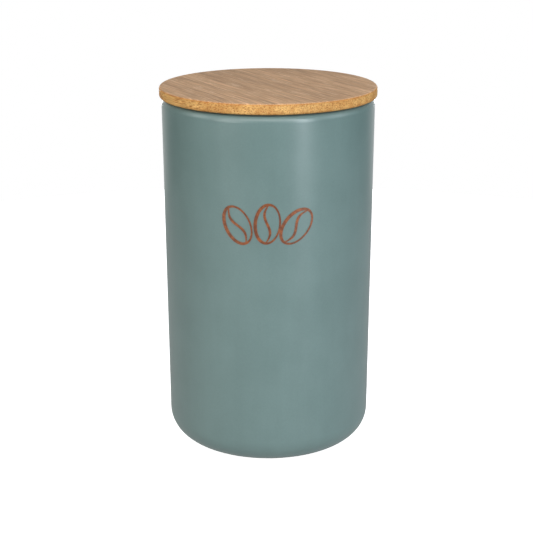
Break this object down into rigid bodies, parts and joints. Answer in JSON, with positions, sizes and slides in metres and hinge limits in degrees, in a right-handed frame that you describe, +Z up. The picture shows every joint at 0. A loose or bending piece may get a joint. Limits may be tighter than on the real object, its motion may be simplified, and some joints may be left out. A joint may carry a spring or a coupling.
{
  "type": "coffee canister",
  "caption": "Round glazed stoneware jar with rounded shoulders, a coffee bean print and a flat bamboo lid whose plug and silicone ring seal the mouth.",
  "frame": {"origin": "centre of the foot's underside, on the jar's axis", "axes": "+Z up along the jar's axis, -Y out of the front, where the print is"},
  "size_m": [0.102, 0.102, 0.173],
  "materials": {
    "glaze": "satin grey-green glaze, soft sheen, fine mottling",
    "print": "satin copper-brown overglaze print",
    "bamboo": "oiled laminated bamboo, brown top face, golden edge with dotted end grain",
    "silicone": "translucent off-white silicone, matt"
  },
  "bodies": {
    "jar": {"canister": "glaze", "printed_emblem": "print"},
    "seal": {"seal_ring": "silicone"},
    "lid": {"board_strip_1": "bamboo", "board_strip_2": "bamboo", "board_strip_3": "bamboo", "board_strip_4": "bamboo", "board_strip_5": "bamboo", "upper_plug_strip_1": "bamboo", "upper_plug_strip_2": "bamboo", "upper_plug_strip_3": "bamboo", "upper_plug_strip_4": "bamboo", "upper_plug_strip_5": "bamboo", "lower_plug_strip_1": "bamboo", "lower_plug_strip_2": "bamboo", "lower_plug_strip_3": "bamboo", "lower_plug_strip_4": "bamboo", "lower_plug_strip_5": "bamboo"}
  },
  "joints": [
    {"name": "lid_lift", "type": "slide", "parent": "jar", "child": "seal", "axis": [0, 0, 1], "range_m": [0, 0.12]},
    {"name": "lid_turn", "type": "hinge", "parent": "seal", "child": "lid", "pos_m": [0, 0, 0.1635], "axis": [0, 0, 1], "continuous": true}
  ]
}
